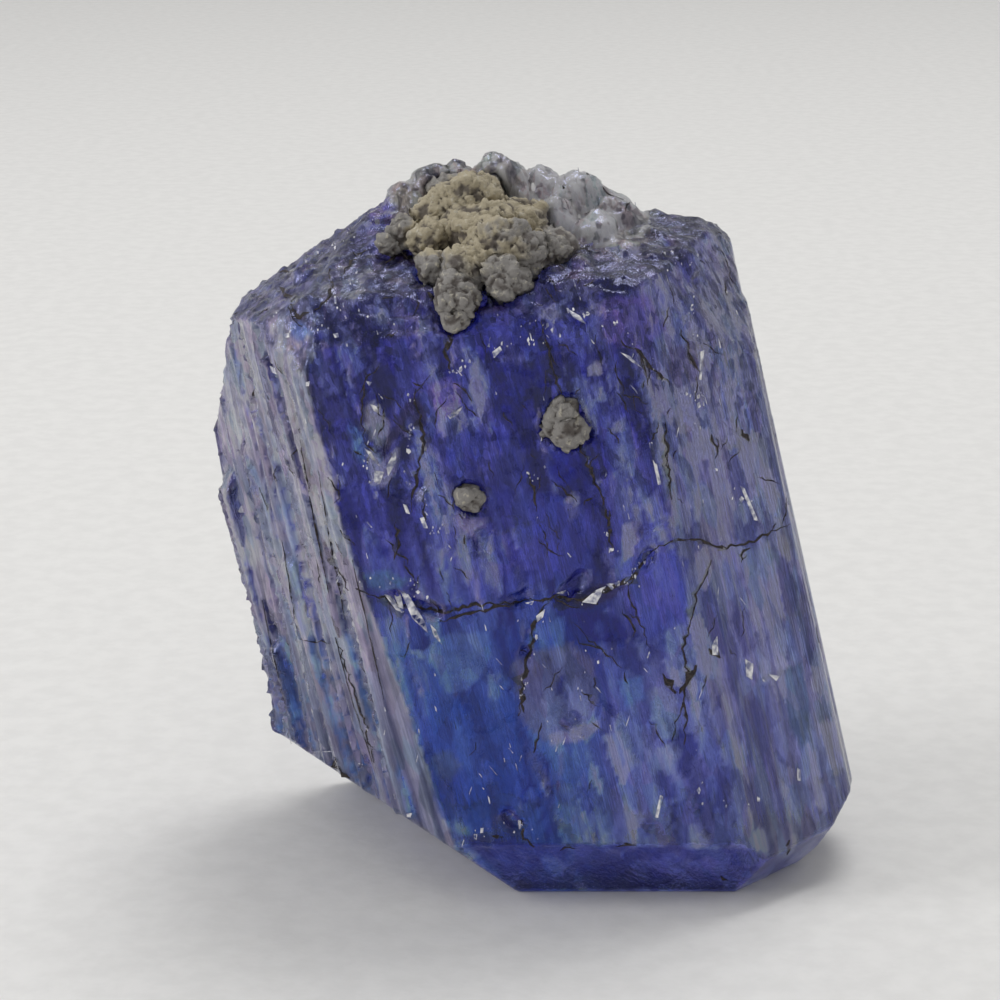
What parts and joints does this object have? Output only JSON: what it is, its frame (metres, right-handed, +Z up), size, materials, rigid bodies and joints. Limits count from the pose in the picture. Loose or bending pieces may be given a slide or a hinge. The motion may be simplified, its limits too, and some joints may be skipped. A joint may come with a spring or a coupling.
{
  "type": "tanzanite crystal",
  "caption": "Rough tanzanite crystal specimen: a leaning, striated blue-violet prism with an etched clear crown and a crust of pale matrix.",
  "frame": {"origin": "on the resting face, below the front right part of the prism; 0 is the height of the flat broken face that the stone stands on", "axes": "+Z up as the stone stands, -Y out of the broad front face of the prism, +X to the right seen from the front; the crystal axis leans 13.5 degrees from +Z towards -X"},
  "size_m": [0.0222, 0.0126, 0.0243],
  "materials": {
    "tanzanite": "clear blue-violet crystal, striated and etched",
    "matrix": "matt, crumbly"
  },
  "bodies": {
    "root": {"tanzanite_crystal": "tanzanite", "matrix_crust": "matrix", "matrix_grain_middle": "matrix", "matrix_grain_left": "matrix"}
  },
  "joints": []
}
